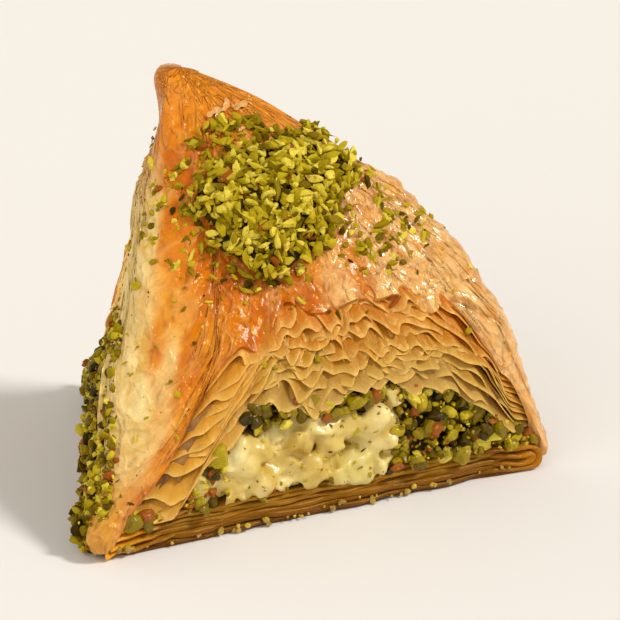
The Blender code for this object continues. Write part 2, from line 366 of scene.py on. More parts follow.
def chopped_kind(detail, shape, cuts, seed):
    """The points and faces of one chopped bit: a ball with flat cut faces, stretched to a shape."""
    ball = add_ball(detail)
    points, faces = points_of(ball), faces_of(ball)
    bpy.data.objects.remove(ball)
    draw = np.random.default_rng(seed)
    for _ in range(cuts):
        way = unit(draw.normal(size=3))
        points -= np.maximum(points @ way - draw.uniform(0.30, 0.75), 0.0)[:, None] * way
    points *= 1.0 + 0.10 * waves(points, 1.3, seed)[:, None]
    return points * np.array(shape), faces


def chopped_kinds(detail, shapes, cuts, seed):
    return [chopped_kind(detail, shape, cuts + index % 3, seed + index) for index, shape in enumerate(shapes)]


NUT_SHAPES = ((1.25, 0.85, 0.75), (1.0, 0.8, 0.55), (1.1, 1.0, 0.8), (1.5, 0.7, 0.6), (0.95, 0.9, 0.7))
CRUMB_SHAPES = ((1.45, 0.54, 0.44), (1.2, 0.60, 0.44), (1.0, 0.75, 0.55), (0.85, 0.72, 0.6), (1.75, 0.46, 0.38))


def tumbled(outwards, draw, tilt):
    """Three axes for each bit, turned at random with the third within about tilt of outwards."""
    third = unit(outwards + draw.normal(0.0, tilt, outwards.shape))
    first = unit(np.cross(third, draw.normal(size=outwards.shape)))
    return np.stack((first, np.cross(third, first), third), 1)


def scatter(name, kinds, places, axes, sizes, tones, draw):
    """One mesh of real copies of the kinds, one copy at every place."""
    points, faces, marks, total = [], [], [], 0
    for place, turned, size, colour in zip(places, axes, sizes, tones):
        shape, sides = kinds[draw.integers(len(kinds))]
        points.append(shape * size @ turned + place)
        faces.append(sides + total)
        marks.append(np.full(len(shape), colour))
        total += len(shape)
    points = np.concatenate(points)
    points[:, 2] = np.maximum(points[:, 2], 0.02 * MM)
    mesh = bpy.data.meshes.new(name)
    mesh.from_pydata(points.tolist(), [], np.concatenate(faces).tolist())
    piece = bpy.data.objects.new(name, mesh)
    bpy.context.scene.collection.objects.link(piece)
    set_mark(piece, "tone", np.concatenate(marks))
    return piece


def nut_tones(count, middle, spread, browns, draw):
    """Random places along the nut colours, a share of them on the brown skin at the end."""
    tones = np.clip(draw.normal(middle, spread, count), 0.0, 0.86)
    return np.where(draw.random(count) < browns, 0.98, tones)


def spots_on(piece, count, facing, draw):
    """Random places, even by area, on the faces of a piece that face a direction."""
    piece.data.calc_loop_triangles()
    faces = points_of(piece)[np.array([triangle.vertices[:] for triangle in piece.data.loop_triangles])]
    normals = np.cross(faces[:, 1] - faces[:, 0], faces[:, 2] - faces[:, 0])
    areas = np.linalg.norm(normals, axis=1)
    weights = np.where(unit(normals) @ facing > 0.35, areas, 0.0)
    chosen = draw.choice(len(faces), count, p=weights / weights.sum())
    a, b = draw.random((2, count))
    a, b = np.where(a + b > 1.0, 1.0 - a, a), np.where(a + b > 1.0, 1.0 - b, b)
    start, left, right = (faces[chosen, corner] for corner in range(3))
    return start + a[:, None] * (left - start) + b[:, None] * (right - start), unit(normals)[chosen]


# ---------------------------------------------------------------- shader helpers


class Wire:
    """A socket whose sums, products and powers add Math nodes."""

    def __init__(self, web, socket):
        self.web, self.socket = web, socket

    def maths(self, operation, *values):
        return self.web.node("ShaderNodeMath", {"operation": operation}, dict(enumerate(values)))

    def __add__(self, other):
        return self.maths("ADD", self, other)

    __radd__ = __add__

    def __mul__(self, other):
        return self.maths("MULTIPLY", self, other)

    __rmul__ = __mul__

    def __sub__(self, other):
        return self.maths("SUBTRACT", self, other)

    def __rsub__(self, other):
        return self.maths("SUBTRACT", other, self)

    def __pow__(self, other):
        return self.maths("POWER", self, other)

    def above(self, low, high):
        """0 at low or less and 1 at high or more."""
        return self.web.node("ShaderNodeMapRange", None, {"Value": self, "From Min": low, "From Max": high})


class Web:
    """The nodes of one material."""

    def __init__(self, name):
        self.material = bpy.data.materials.new(name)
        self.material.use_nodes = True
        self.tree = self.material.node_tree
        self.shader = self.tree.nodes["Principled BSDF"]

    def node(self, kind, settings=None, inputs=None, output=0):
        node = self.tree.nodes.new(kind)
        for name, value in (settings or {}).items():
            setattr(node, name, value)
        for name, value in (inputs or {}).items():
            self.plug(node.inputs[name], value)
        return Wire(self, node.outputs[output])

    def plug(self, socket, value):
        if isinstance(value, Wire):
            self.tree.links.new(value.socket, socket)
        elif isinstance(value, tuple) and len(value) < len(socket.default_value):
            socket.default_value = (*value, 1.0)
        else:
            socket.default_value = value

    def mark(self, name):
        return self.node("ShaderNodeAttribute", {"attribute_name": name}, output="Fac")

    def place(self, stretch=(1.0, 1.0, 1.0), turn=(0.0, 0.0, 0.0)):
        where = self.node("ShaderNodeTexCoord", output="Object")
        return self.node("ShaderNodeMapping", None, {"Vector": where, "Scale": stretch, "Rotation": turn})

    def flow(self, around, down):
        """The piece's own map with its sides in metres, so that a pattern can follow the slope."""
        where = self.node("ShaderNodeTexCoord", output="UV")
        return self.node("ShaderNodeMapping", None, {"Vector": where, "Scale": (around, down, 1.0)})

    def noise(self, size, detail=3.0, roughness=0.5, where=None, warp=0.0):
        """Noise from 0 to 1 whose lumps are about this size, in metres."""
        settings = {"Scale": 1.0 / size, "Detail": detail, "Roughness": roughness, "Distortion": warp}
        return self.node("ShaderNodeTexNoise", None, {"Vector": where or self.place(), **settings})

    def cells(self, size, where, warp=0.0, feature="DISTANCE_TO_EDGE"):
        """Distance to the edge of scattered cells of about this size, 0 at the edge."""
        settings = {"Scale": 0.7 / size, "Detail": 2.0}
        swirl = self.node("ShaderNodeTexNoise", None, {"Vector": where, **settings}, "Color")
        inputs = {0: swirl, 1: (warp, warp, warp), 2: where}
        bent = self.node("ShaderNodeVectorMath", {"operation": "MULTIPLY_ADD"}, inputs)
        inputs = {"Vector": bent, "Scale": 1.0 / size}
        return self.node("ShaderNodeTexVoronoi", {"feature": feature}, inputs, "Distance")

    def ramp(self, factor, *stops):
        colours = self.node("ShaderNodeValToRGB", None, {"Fac": factor})
        ramp = colours.socket.node.color_ramp
        while len(ramp.elements) < len(stops):
            ramp.elements.new(0.5)
        for element, (place, colour) in zip(ramp.elements, stops):
            element.position = place
            element.color = (*colour, 1.0)
        return colours

    def blend(self, factor, low, high, kind="MIX"):
        mixed = self.node("ShaderNodeMix", {"data_type": "RGBA", "blend_type": kind}, {0: factor, 6: low, 7: high}, 2)
        return mixed

    def bump(self, height, depth, under=None):
        inputs = {"Height": height, "Strength": 1.0, "Distance": depth}
        if under:
            inputs["Normal"] = under
        return self.node("ShaderNodeBump", None, inputs)

    def finish(self, **sockets):
        for name, value in sockets.items():
            self.plug(self.shader.inputs[name.replace("_", " ")], value)
        return self.material


def tone(red, green, blue):
    """A colour given as screen values from 0 to 255, as the shader's linear ones."""
    return tuple(
        value / 12.92 if value <= 0.04045 else ((value + 0.055) / 1.055) ** 2.4
        for value in (red / 255, green / 255, blue / 255)
    )


# ---------------------------------------------------------------- finishes


def crust_finish():
    web = Web("glazed_crust")
    flow = web.flow(0.120, 0.050)
    patches = web.noise(0.011, 3.0, 0.55, warp=0.6)
    streaks = web.noise(0.0028, 4.0, 0.6, flow, 1.2)
    lift, pale, fold = web.mark("lift"), web.mark("pale"), web.mark("fold")
    folds = web.cells(0.0040, web.flow(0.150, 0.045), 0.0100)
    crinkles = 1.0 - web.cells(0.0021, web.place((1.0, 1.0, 0.70)), 0.0032).above(0.0, 0.30)
    baked = web.ramp(
        (patches * 0.6 + streaks * 0.4).above(0.32, 0.68),
        (0.0, tone(178, 82, 0)), (0.35, tone(198, 97, 0)), (0.7, tone(216, 123, 0)), (1.0, tone(236, 164, 40)),
    )
    gold = web.mark("gold")
    golden = web.blend(gold, baked, web.ramp(streaks, (0.3, tone(208, 131, 36)), (0.65, tone(242, 188, 112))))
    lifted = web.blend(lift.above(0.35, 1.0) * 0.35, golden, tone(244, 186, 84))
    lined = web.blend((1.0 - folds.above(0.0, 0.10)) * 0.16, lifted, tone(250, 212, 132))
    # painted highlight: the crinkle ridges are lightened to pinkish cream, most on the golden side
    ridge_highlighted = web.blend(crinkles * (0.03 + 0.33 * gold), lined, tone(255, 218, 156))
    leafy = web.blend(pale, ridge_highlighted, web.ramp(streaks, (0.3, tone(212, 162, 66)), (0.6, tone(238, 208, 138))))
    sided = web.blend(fold * 0.55, leafy, web.ramp(streaks, (0.3, tone(190, 120, 16)), (0.7, tone(230, 172, 70))))
    # painted highlight: the tip mark brightens the top of the crust to a lighter orange
    tip_highlighted = web.blend(web.mark("tip") * 0.75, sided, web.ramp(streaks, (0.3, tone(226, 124, 2)), (0.7, tone(242, 152, 22))))
    folded = web.bump(1.0 - folds.above(0.0, 0.16), 0.00022)
    ridges = web.bump(crinkles * (0.55 + 0.45 * gold), 0.00030, folded)
    grain = web.bump(web.noise(0.0016, 3.0, 0.55, web.place((1.0, 1.0, 0.6)), 0.8), 0.00016, ridges)
    return web.finish(
        Base_Color=tip_highlighted, Roughness=mix(0.16, 0.30, streaks), Normal=grain, Coat_Weight=0.16 + gold * 0.50, Coat_Roughness=0.09,
        Subsurface_Weight=0.06, Subsurface_Radius=(1.0, 0.70, 0.15), Subsurface_Scale=0.0010, IOR=1.46,
        Specular_Tint=tone(255, 206, 130), Specular_IOR_Level=0.42,
    )


def leaf_finish(name, stops, rim_highlight, tuck_shade, gilt=0.0, grain=0.0003, shine=0.0):
    """Pastry leaves: coloured by level, with painted shade where tucked in and a painted highlight along the free edge.
    """
    web = Web(name)
    level, edge, tucked = web.mark("level"), web.mark("edge"), web.mark("tucked")
    cloud = web.noise(0.005, 3.0, 0.55)
    fine = web.noise(0.0010, 3.0, 0.6)
    base = web.ramp(level + (cloud - 0.5) * 0.60, *stops)
    gilded = web.blend(web.mark("gilt") * gilt, base, tone(228, 154, 48))
    # painted shade: the tucked-in upper part of each leaf is darkened towards the shade colour
    shaded = web.blend(tucked, gilded, tuck_shade)
    # painted highlight: the free edge of each leaf, and the top of each bottom plate, is lightened towards the rim
    # colour
    rim_highlighted = web.blend(edge * (0.25 + 0.75 * fine), shaded, rim_highlight)
    grained = web.bump(web.noise(0.0014, 4.0, 0.6, web.place((1.0, 1.0, 0.6)), 0.9), grain)
    return web.finish(
        Base_Color=rim_highlighted, Roughness=mix(0.24 - shine, 0.44 - shine, cloud), Normal=grained,
        Subsurface_Weight=0.25, Subsurface_Radius=(1.0, 0.65, 0.14), Subsurface_Scale=0.0020, IOR=1.42,
        Specular_Tint=tone(255, 220, 150),
    )


def core_finish():
    web = Web("inner_pastry")
    cloud = web.noise(0.003, 4.0, 0.6)
    base = web.ramp(cloud, (0.3, tone(120, 74, 18)), (0.7, tone(176, 124, 50)))
    return web.finish(Base_Color=base, Roughness=0.55, Normal=web.bump(cloud, 0.0006))


def nut_finish(name, stops, roughness, coat, shine):
    web = Web(name)
    tint, cloud = web.mark("tone"), web.noise(0.0010, 3.0, 0.6)
    base = web.ramp(tint + (cloud - 0.5) * 0.36, *stops)
    grain = web.bump(web.noise(0.0005, 3.0, 0.6), 0.00016)
    return web.finish(
        Base_Color=base, Roughness=roughness, Normal=grain, Coat_Weight=coat, Coat_Roughness=0.15,
        Subsurface_Weight=0.12, Subsurface_Radius=(1.0, 0.85, 0.1), Subsurface_Scale=0.0008, IOR=1.42,
        Specular_IOR_Level=shine, Specular_Tint=tone(240, 230, 150),
    )


def cream_finish():
    web = Web("white_cream")
    cloud, patch = web.noise(0.0045, 3.0, 0.5), web.noise(0.009, 2.0, 0.5)
    base = web.ramp(cloud, (0.28, tone(192, 156, 58)), (0.5, tone(220, 192, 106)), (0.75, tone(242, 225, 160)))
    greened = web.blend(patch.above(0.56, 0.74) * 0.45, base, tone(184, 166, 60))
    grain = web.bump(web.noise(0.0016, 3.0, 0.5), 0.00022)
    return web.finish(
        Base_Color=greened, Roughness=0.32, Normal=grain, Coat_Weight=0.20, Coat_Roughness=0.15,
        Subsurface_Weight=0.30, Subsurface_Radius=(1.0, 0.85, 0.45), Subsurface_Scale=0.0018, IOR=1.40,
    )


def syrup_finish():
    web = Web("syrup")
    base = web.ramp(web.noise(0.003), (0.35, tone(140, 108, 8)), (0.7, tone(206, 172, 40)))
    return web.finish(
        Base_Color=base, Roughness=0.08, Coat_Weight=0.6, Coat_Roughness=0.05,
        Subsurface_Weight=0.4, Subsurface_Radius=(1.0, 0.7, 0.2), Subsurface_Scale=0.001,
    )


def floor_finish():
    web = Web("pale_floor")
    base = web.blend(web.noise(0.6, 2.0) * 0.15, tone(236, 231, 223), tone(233, 227, 218))
    return web.finish(Base_Color=base, Roughness=0.8)


NUT_STOPS = (
    (0.0, tone(50, 38, 2)), (0.20, tone(98, 76, 2)), (0.45, tone(150, 126, 8)),
    (0.66, tone(192, 168, 28)), (0.86, tone(232, 210, 78)), (0.95, tone(150, 78, 22)),
)
FRONT_STOPS = (
    (0.0, tone(176, 130, 62)), (0.35, tone(178, 118, 24)), (0.6, tone(188, 106, 0)), (1.0, tone(202, 100, 0)),
)
LEFT_STOPS = ((0.0, tone(226, 160, 54)), (0.5, tone(244, 184, 76)), (1.0, tone(252, 198, 92)))
BOTTOM_STOPS = ((0.0, tone(92, 48, 0)), (0.35, tone(128, 78, 4)), (1.0, tone(170, 118, 26)))


# ---------------------------------------------------------------- crust

INNER_PART = 0.05
CAP_PART = 0.04
CRUST_WALL = 1.1 * MM


def cells(grid, around, seed):
    """Scattered cells on a table of flat places, about one to each unit, wrapping after around units.

    Returns the offset from the nearest cell's middle, its two random numbers and the gap to the next cell.
    """
    table = np.random.default_rng(seed).random((around, 61, 4))
    home = np.floor(grid)
    best, second = np.full((2, *grid.shape[:-1]), 9.0)
    offset, tags = np.zeros_like(grid), np.zeros_like(grid)
    for step in np.ndindex(3, 3):
        cell = home + step - 1
        entry = table[(cell[..., 0] % around).astype(int), (cell[..., 1] % 61).astype(int)]
        away = grid - cell - 0.15 - 0.7 * entry[..., :2]
        distance = np.linalg.norm(away, axis=-1)
        closer = distance < best
        second = np.where(closer, best, np.minimum(second, distance))
        best = np.where(closer, distance, best)
        offset = np.where(closer[..., None], away, offset)
        tags = np.where(closer[..., None], entry[..., 2:], tags)
    return offset, tags, second - best


def flake_relief(across, height, around, length, seed):
    """Overlapping flakes that run down the slope, each tucked in above and lifted at its lower end."""
    wrapped = np.stack((np.cos(2 * np.pi * across), np.sin(2 * np.pi * across)), -1) * 28 * MM
    bent = np.concatenate((wrapped, height[..., None]), -1)
    reach = HEIGHT + 12 * MM
    climb = -np.log(1.0 - height / reach) * reach / length
    grid = np.stack((across * around, climb), -1)
    grid[..., 0] += 0.60 * waves(bent, 8 * MM, seed + 1) + 0.20 * waves(bent, 3 * MM, seed + 2)
    grid[..., 1] += 0.30 * waves(bent, 7 * MM, seed + 3) + 0.10 * waves(bent, 3 * MM, seed + 4)
    offset, tags, gap = cells(grid, around, seed)
    lean = 0.5 - 0.75 * offset[..., 1] + 1.1 * (tags[..., 1] - 0.5) * offset[..., 0]
    return np.clip(lean, 0.0, 1.2) * mix(0.25, 1.0, tags[..., 0]) * smooth(-0.06, 0.12, gap)


def even_turns(across, height=10 * MM):
    """Turns that step evenly round the dome's outline."""
    turns = np.linspace(0.0, 1.0, 2401)
    walked = np.cumsum(np.linalg.norm(np.diff(ring(turns, height), axis=0, prepend=ring(turns[:1], height)), axis=1))
    return np.interp(across * walked[-1], walked, turns)


FOOT_LENGTH = np.linalg.norm(np.diff(ring(np.linspace(0.0, 1.0, 2401), 10 * MM), axis=0), axis=1).sum()
CORNER_WALKS = np.interp((0.0, 1 / 3, 2 / 3), even_turns(np.linspace(0.0, 1.0, 1201)), np.linspace(0.0, 1.0, 1201))


def torn_edge(distance, draw, spacing, depth):
    """Downward points of a torn edge, sharp at irregular places and arched between them."""
    at = distance.min() - spacing[1]
    drop = np.zeros_like(distance)
    while at < distance.max() + spacing[1]:
        at += draw.uniform(*spacing)
        wide = draw.uniform(0.20, 0.45) * spacing[1]
        drop = np.maximum(drop, draw.uniform(0.3, 1.0) * depth * np.clip(1 - np.abs(distance - at) / wide, 0, 1) ** 1.6)
    return drop


def paleness(turn, height):
    """How far the crust has given way to pale leaves round the left ridge."""
    wrapped = (turn + 0.5) % 1.0 - 0.5
    bound = mix(0.048, 0.006, smooth(4 * MM, 38 * MM, height))
    ragged = 0.007 * waves(np.stack((wrapped * 150 * MM, height * 0.3), -1), 4 * MM, 5)
    near_tip = smooth(36 * MM, 46 * MM, height)
    left = (1.0 - smooth(bound - 0.016, bound + 0.006, wrapped + ragged)) * smooth(-0.30, -0.25, wrapped)
    return left * (1.0 - near_tip) * smooth(6 * MM, 14 * MM, height + 200 * MM * ragged)


def goldenness(turn, height):
    """How far the crust is golden rather than orange: most on the right of the front and the right ridge, and a little
    at the tip, where it is a painted highlight.
    """
    wrapped = (turn + 0.5) % 1.0 - 0.5
    patchy = 0.025 * waves(np.stack((wrapped * 150 * MM, height * 0.5), -1), 7 * MM, 8)
    gold = smooth(0.13, 0.23, wrapped + patchy) * (1.0 - smooth(0.40, 0.48, wrapped))
    corner = (1.0 - smooth(10 * MM, 22 * MM, height)) * (1.0 - smooth(0.03, 0.06, np.abs(wrapped)))
    gold = 0.85 * gold * (1.0 - 0.7 * smooth(38 * MM, 47 * MM, height))
    # the small rise towards the tip is painted highlight, not golden crust
    return np.maximum(gold, 0.28 * corner) + 0.12 * smooth(44 * MM, 49 * MM, height)


def corner_bulge(across, height):
    """The fat rounded fold of the crust at the foot of the two front corners."""
    bulge = 0.0
    for corner, size in ((0, 1.0), (1, 0.7)):
        walk = ((across - CORNER_WALKS[corner] + 0.5) % 1.0 - 0.5) * FOOT_LENGTH
        near = np.exp(-((walk - (1.4 - 2.8 * corner) * MM) / (3.4 * MM)) ** 2)
        tucked = (1.0 - np.clip(height / (1.9 * MM), 0.0, 1.0)) ** 2
        bulge = bulge + size * near * (1.5 * np.exp(-(((height - 3.0 * MM) / (2.4 * MM)) ** 2)) - 1.4 * tucked)
    return bulge * MM


def crust_place(across, up, seed):
    draw = np.random.default_rng(seed)
    turn = even_turns(across)
    side, share = side_share(turn)
    opened = openness(turn)
    distance = (share + side) * SIDE_LENGTHS[side]
    torn = torn_edge(distance[0], draw, (6 * MM, 14 * MM), 0.45 * MM)
    torn = torn + 0.9 * MM * waves(distance[:1, :, None], 13 * MM, seed)[0]
    foot = mix(0.25 * MM, lip_height(turn) - torn, opened)
    outer = np.clip((up - INNER_PART) / (1.0 - INNER_PART - CAP_PART), 0.0, 1.0)
    inner = np.clip(1.0 - up / INNER_PART, 0.0, 1.0)
    cap = np.clip((up - 1.0 + CAP_PART) / CAP_PART, 0.0, 1.0)
    top = HEIGHT - 0.35 * TIP_ROUND
    rise = np.where(inner > 0.0, 0.92 * inner, outer)
    height = mix(foot, top, np.sin(np.pi / 2 * rise) ** 0.94)
    points = shell(turn, height)
    normals = grid_normals(points) * np.where(inner > 0.0, -1.0, 1.0)[..., None]
    shut = 1.0 - smooth(HEIGHT - 15 * MM, HEIGHT - 4 * MM, height)
    sheen = np.exp(-(((share - 0.30) / 0.11) ** 2) - ((height - 29 * MM) / (4.5 * MM)) ** 2) * (side == FRONT)
    rough = mix(0.45, 1.15, smooth(-0.7, 0.7, waves(points, 15 * MM, seed + 6))) * (1.0 - 0.8 * sheen) * shut
    flakes = flake_relief(across, height, 38, 6.0 * MM, seed + 10)
    small = flake_relief(across, height, 64, 3.6 * MM, seed + 20)
    swell = waves(points, 12 * MM, seed + 1) * 0.26 * MM * mix(0.4, 1.0, shut)
    crumples = (1.0 - np.abs(waves(points, 4.0 * MM, seed + 3))).clip(0.0) * 0.24 * MM * shut
    slope = np.stack((turn * 150 * MM, height * 0.45), -1)
    lip = opened * np.exp(-(height - foot) / (1.6 * MM))
    frill = (waves(slope * (1.0, 0.3), 5.0 * MM, seed + 4) * 0.55 + 0.35) * MM * lip
    away = (0.50 * flakes + 0.34 * small) * rough * MM + swell + crumples + frill + corner_bulge(across, height)
    wall = mix(0.30 * MM, CRUST_WALL, smooth(0.0, 0.15, inner))
    points = points + normals * (away - np.where(inner > 0.0, wall, 0.0))[..., None]
    middle = points[cap[:, 0] <= 0.0][-1].mean(0)
    shrunk = middle + (points - middle) * (1.0 - cap[..., None])
    points = np.where(cap[..., None] > 0.0, shrunk, points)
    points[..., 2] += 0.35 * TIP_ROUND * np.sqrt(1.0 - (1.0 - cap) ** 2) * (cap > 0.0)
    points[:1] = points[0].mean(0)
    points[..., 2] = np.maximum(points[..., 2], 0.15 * MM)
    points[:, -1] = points[:, 0]
    fold = (side == FOLD) * smooth(0.0, 0.12, share) * smooth(0.0, 0.12, 1.0 - share)
    fold = fold * (1.0 - smooth(36 * MM, 48 * MM, height))
    away_from_corner = np.abs((turn + 0.5) % 1.0 - 0.5)
    corner = (1.0 - smooth(0.020, 0.045, away_from_corner)) * (1.0 - smooth(7 * MM, 13 * MM, height))
    # tip marks the top of the crust for its painted highlight
    marks = {
        "lift": np.clip(flakes * rough, 0.0, 1.0), "fold": np.maximum(fold, 1.5 * corner),
        "tip": smooth(42 * MM, 48 * MM, height), "pale": paleness(turn, height), "gold": goldenness(turn, height),
    }
    return points, marks


# ---------------------------------------------------------------- leaf edges


def leaf_place(across, up, side, level, reach, settings, seed):
    """One leaf of an open side: its free edge at the lower end, its upper part tucked behind."""
    draw = np.random.default_rng(seed)
    hang, wave, tear, spacing, stand = settings
    share = mix(reach[0], reach[1], across)
    turn = turn_at(side, share)
    distance = share * SIDE_LENGTHS[side]
    ends = smooth(0.0, 6 * MM, distance - distance[:, :1]) * smooth(0.0, 6 * MM, distance[:, -1:] - distance)
    line = np.stack((distance, np.full_like(distance, level * 24 * MM)), -1)
    warp = waves(line, 15 * MM, seed // 1000) * 0.80 * MM + waves(line, 5.0 * MM, seed + 5) * 0.36 * MM
    drop = torn_edge(distance[0], draw, spacing, tear) * mix(0.3, 1.0, ends[0])
    edge = mix(roof_height(turn[0]), lip_height(turn[0]), level) + warp[0] * mix(0.4, 1.0, ends[0])
    height = edge - drop * (1.0 - up) ** 1.5 + up * hang * mix(0.5, 1.0, ends)
    height = np.clip(height, BOTTOM * 0.9, HEIGHT - 3 * MM)
    folds = np.stack((distance, height * 0.30), -1)
    sway = waves(folds, 7.0 * MM, seed + 1) + 0.40 * waves(folds, 3.0 * MM, seed + 2)
    free = (1.0 - up) ** 1.1 * mix(0.25, 1.0, ends)
    out = (wave * sway + 0.5 * drop) * free + stand * free
    depth = 1.4 * MM * up**1.1 + 1.0 * MM * (1.0 - ends) ** 2 - out
    gilt = 1.0 - smooth(0.14, 0.27, share)
    # tucked carries the painted shade under the leaf above, edge the painted highlight along the free edge
    marks = {"level": level, "edge": (1.0 - up) ** 9, "tucked": smooth(0.30, 0.80, up) * 0.5, "gilt": gilt}
    return shell(turn, height, depth), marks


def make_leaves(name, leaves, columns, rows, thickness):
    """Joins leaves, each given as its side, level, reach, settings and seed."""
    pieces = []
    for index, leaf in enumerate(leaves):
        piece = add_grid(f"{name}_{index}", columns, rows)
        lay_grid(piece, lambda across, up: leaf_place(across, up, *leaf))
        pieces.append(piece)
    whole = join(name, pieces)
    apply_modifier(whole, "SOLIDIFY", thickness=thickness, offset=0.0)
    in_edit_mode(whole, (bpy.ops.mesh.normals_make_consistent, {"inside": False}))
    return whole


def side_leaves(side, count, settings, extras, seed):
    """Whole leaves at even levels, and torn short ones between them."""
    draw = np.random.default_rng(seed)
    hang, wave, tears, spacing, stand = settings
    leaves = []
    for index in range(count):
        level = (index + draw.uniform(-0.22, 0.22) * (0 < index < count - 1)) / (count - 1)
        tear = mix(tears[0], tears[1], min(1.0, 1.7 * level) ** 0.6)
        reach = (0.050 + 0.05 * draw.random() * (index % 2), 0.975)
        leaves.append((side, level, reach, (hang, wave, tear, spacing, stand), seed + 10 * index))
    for index in range(extras):
        start, level = draw.uniform(0.08, 0.70), draw.uniform(0.08, 0.97)
        reach = (start, min(0.96, start + draw.uniform(0.14, 0.34)))
        short = (0.7 * hang, 1.1 * wave, 1.6 * tears[1], spacing, stand + 0.30 * MM)
        leaves.append((side, level, reach, short, seed + 500 + 10 * index))
    return leaves


# ---------------------------------------------------------------- corner folds and bottom leaves


def loop_place(across, up, corner, radius, arm, nearest, seed):
    """A leaf folded back on itself at a corner: a thick strip along a U that lies on the front face."""
    way = 1.0 if corner == 0 else -1.0
    bend = math.pi * radius
    walked = across * (2.0 * arm + bend) - arm
    angle = np.clip(walked, 0.0, bend) / radius
    past = np.maximum(walked - bend, 0.0) + np.maximum(-walked, 0.0)
    thin = np.sqrt(np.clip(np.minimum(across, 1.0 - across) / 0.08, 0.0, 1.0))
    swell = 0.42 * MM * np.cos(2.0 * np.pi * up) * thin
    sideways = nearest + radius + past - (radius + swell) * np.sin(angle)
    lift = (radius + swell) * np.cos(angle) + 0.15 * MM * waves(sideways[..., None], 5 * MM, seed)
    lift = lift + 0.10 * (sideways - nearest) * (1.0 - 0.4 * corner)
    height = np.maximum(0.5 * BOTTOM - 0.1 * MM + lift, 0.05 * MM)
    turn = even_turns((CORNER_WALKS[corner] + way * sideways / FOOT_LENGTH) % 1.0)
    bulged = 0.9 * MM * np.exp(-((sideways - 1.4 * MM) / (3.8 * MM)) ** 2)
    depth = 0.9 * MM - bulged - 1.2 * MM * np.sin(2.0 * np.pi * up) * thin
    fade = 1.0 - smooth(0.0, 7.5 * MM, sideways - nearest)
    return shell(turn, height, depth), {"level": fade, "edge": 0.0, "tucked": 0.0}


def make_corner(name, corner, loops, seed):
    """Nested folded strips at the end of the bottom leaves."""
    strips = []
    for index, (radius, arm, nearest) in enumerate(loops):
        strip = add_grid(f"{name}_{index}", 90, 12)
        shape = (corner, radius * MM, arm * MM, nearest * MM, seed + index)
        lay_grid(strip, lambda across, up: loop_place(across, up, *shape))
        close_seams(strip)
        strips.append(strip)
    return join(name, strips)


def plate_place(across, up, low, thick, inset, level, seed):
    """One pressed leaf of the bottom: a closed plate with an uneven outline."""
    turn = even_turns(across, 1 * MM)
    around = np.pi * (up - 0.5)
    flatness = np.abs(np.cos(around)) ** 0.35
    lengths = np.concatenate((ring(turn, 1 * MM), np.full((*turn.shape, 1), level * 20 * MM)), -1)
    ragged = waves(lengths, 9 * MM, seed) * 0.20 * MM + waves(lengths, 3.0 * MM, seed + 1) * 0.07 * MM
    depth = inset + ragged + (1.0 - flatness) * thick + 1.3 * MM * (1.0 - openness(turn))
    sag = waves(lengths, 10 * MM, seed + 2) * 0.14 * MM * min(1.0, low / (0.5 * MM))
    height = low + thick * (0.5 + 0.5 * np.sign(np.sin(around)) * np.abs(np.sin(around)) ** 0.6) + sag
    points = shell(turn, np.full_like(turn, 1 * MM), depth)
    points[..., 2] = np.maximum(height, 0.02 * MM)
    middle = np.array((*CORNERS.mean(0), low + 0.5 * thick))
    points = np.where((np.abs(up - 0.5) > 0.499)[..., None], middle, points)
    points[:, -1] = points[:, 0]
    # its edge mark is the painted highlight along the top of the plate
    return points, {"level": level, "edge": 0.5 * smooth(0.6, 1.0, np.sin(around)), "tucked": 0.0}


def make_bottom(count, seed):
    plates = []
    draw = np.random.default_rng(seed)
    bounds = np.concatenate(((0.0,), np.cumsum(draw.uniform(0.6, 1.4, count))))
    bounds *= (BOTTOM - 0.1 * MM) / bounds[-1]
    for index in range(count):
        plate = add_grid(f"bottom_leaf_{index}", 320, 11)
        inset = draw.uniform(-0.05, 0.50) * MM + 0.08 * MM * index
        shape = (bounds[index], 1.08 * (bounds[index + 1] - bounds[index]), inset, index / (count - 1))
        lay_grid(plate, lambda across, up: plate_place(across, up, *shape, seed + 10 * index))
        close_seams(plate)
        plates.append(plate)
    return join("bottom_leaves", plates)


# ---------------------------------------------------------------- cream, nuts and crumbs


def make_cream(seed):
    """Curd-like lumps run together, with short drips over the bottom leaves."""
    draw = np.random.default_rng(seed)
    balls = []

    def add_lump(share, height, depth, shape, tilt=1.0):
        place, outward = spots_on_dome(turn_at(FRONT, share), height, depth)
        points, _ = chopped_kind(3, shape, 7, int(draw.integers(1e6)))
        ball = add_ball(3)
        set_points(ball, points @ tumbled(outward[None], draw, tilt)[0] + place)
        balls.append(ball)

    for share in np.linspace(0.205, 0.645, 44):
        share += draw.uniform(-0.01, 0.01)
        roof = min(roof_height(turn_at(FRONT, share)) + 0.5 * MM, 16.5 * MM)
        radius = draw.uniform(2.3, 3.6) * MM * smooth(0.0, 8 * MM, roof - BOTTOM + 3 * MM)
        low = BOTTOM + 0.35 * radius
        height = mix(low, max(roof - 0.7 * radius, low), draw.random())
        add_lump(share, height, radius + draw.uniform(-0.8, 0.1) * MM, np.array((1.2, 1.0, 0.95)) * radius)
    for share in np.linspace(0.235, 0.62, 14):
        add_lump(share, 9 * MM, 5.5 * MM, np.array((4.2, 4.2, 4.2)) * MM)
    for share in (0.27, 0.345, 0.44, 0.50, 0.61):
        drip = np.array((draw.uniform(0.8, 1.4), 1.0, draw.uniform(0.9, 1.5))) * MM
        add_lump(share + draw.uniform(-0.012, 0.012), BOTTOM + 0.9 * MM, 0.4 * MM, drip[[0, 2, 1]], 0.15)
    piece = join("cream_lumps", balls)
    apply_modifier(piece, "REMESH", mode="VOXEL", voxel_size=0.33 * MM)
    apply_modifier(piece, "SMOOTH", factor=0.5, iterations=2)
    return piece


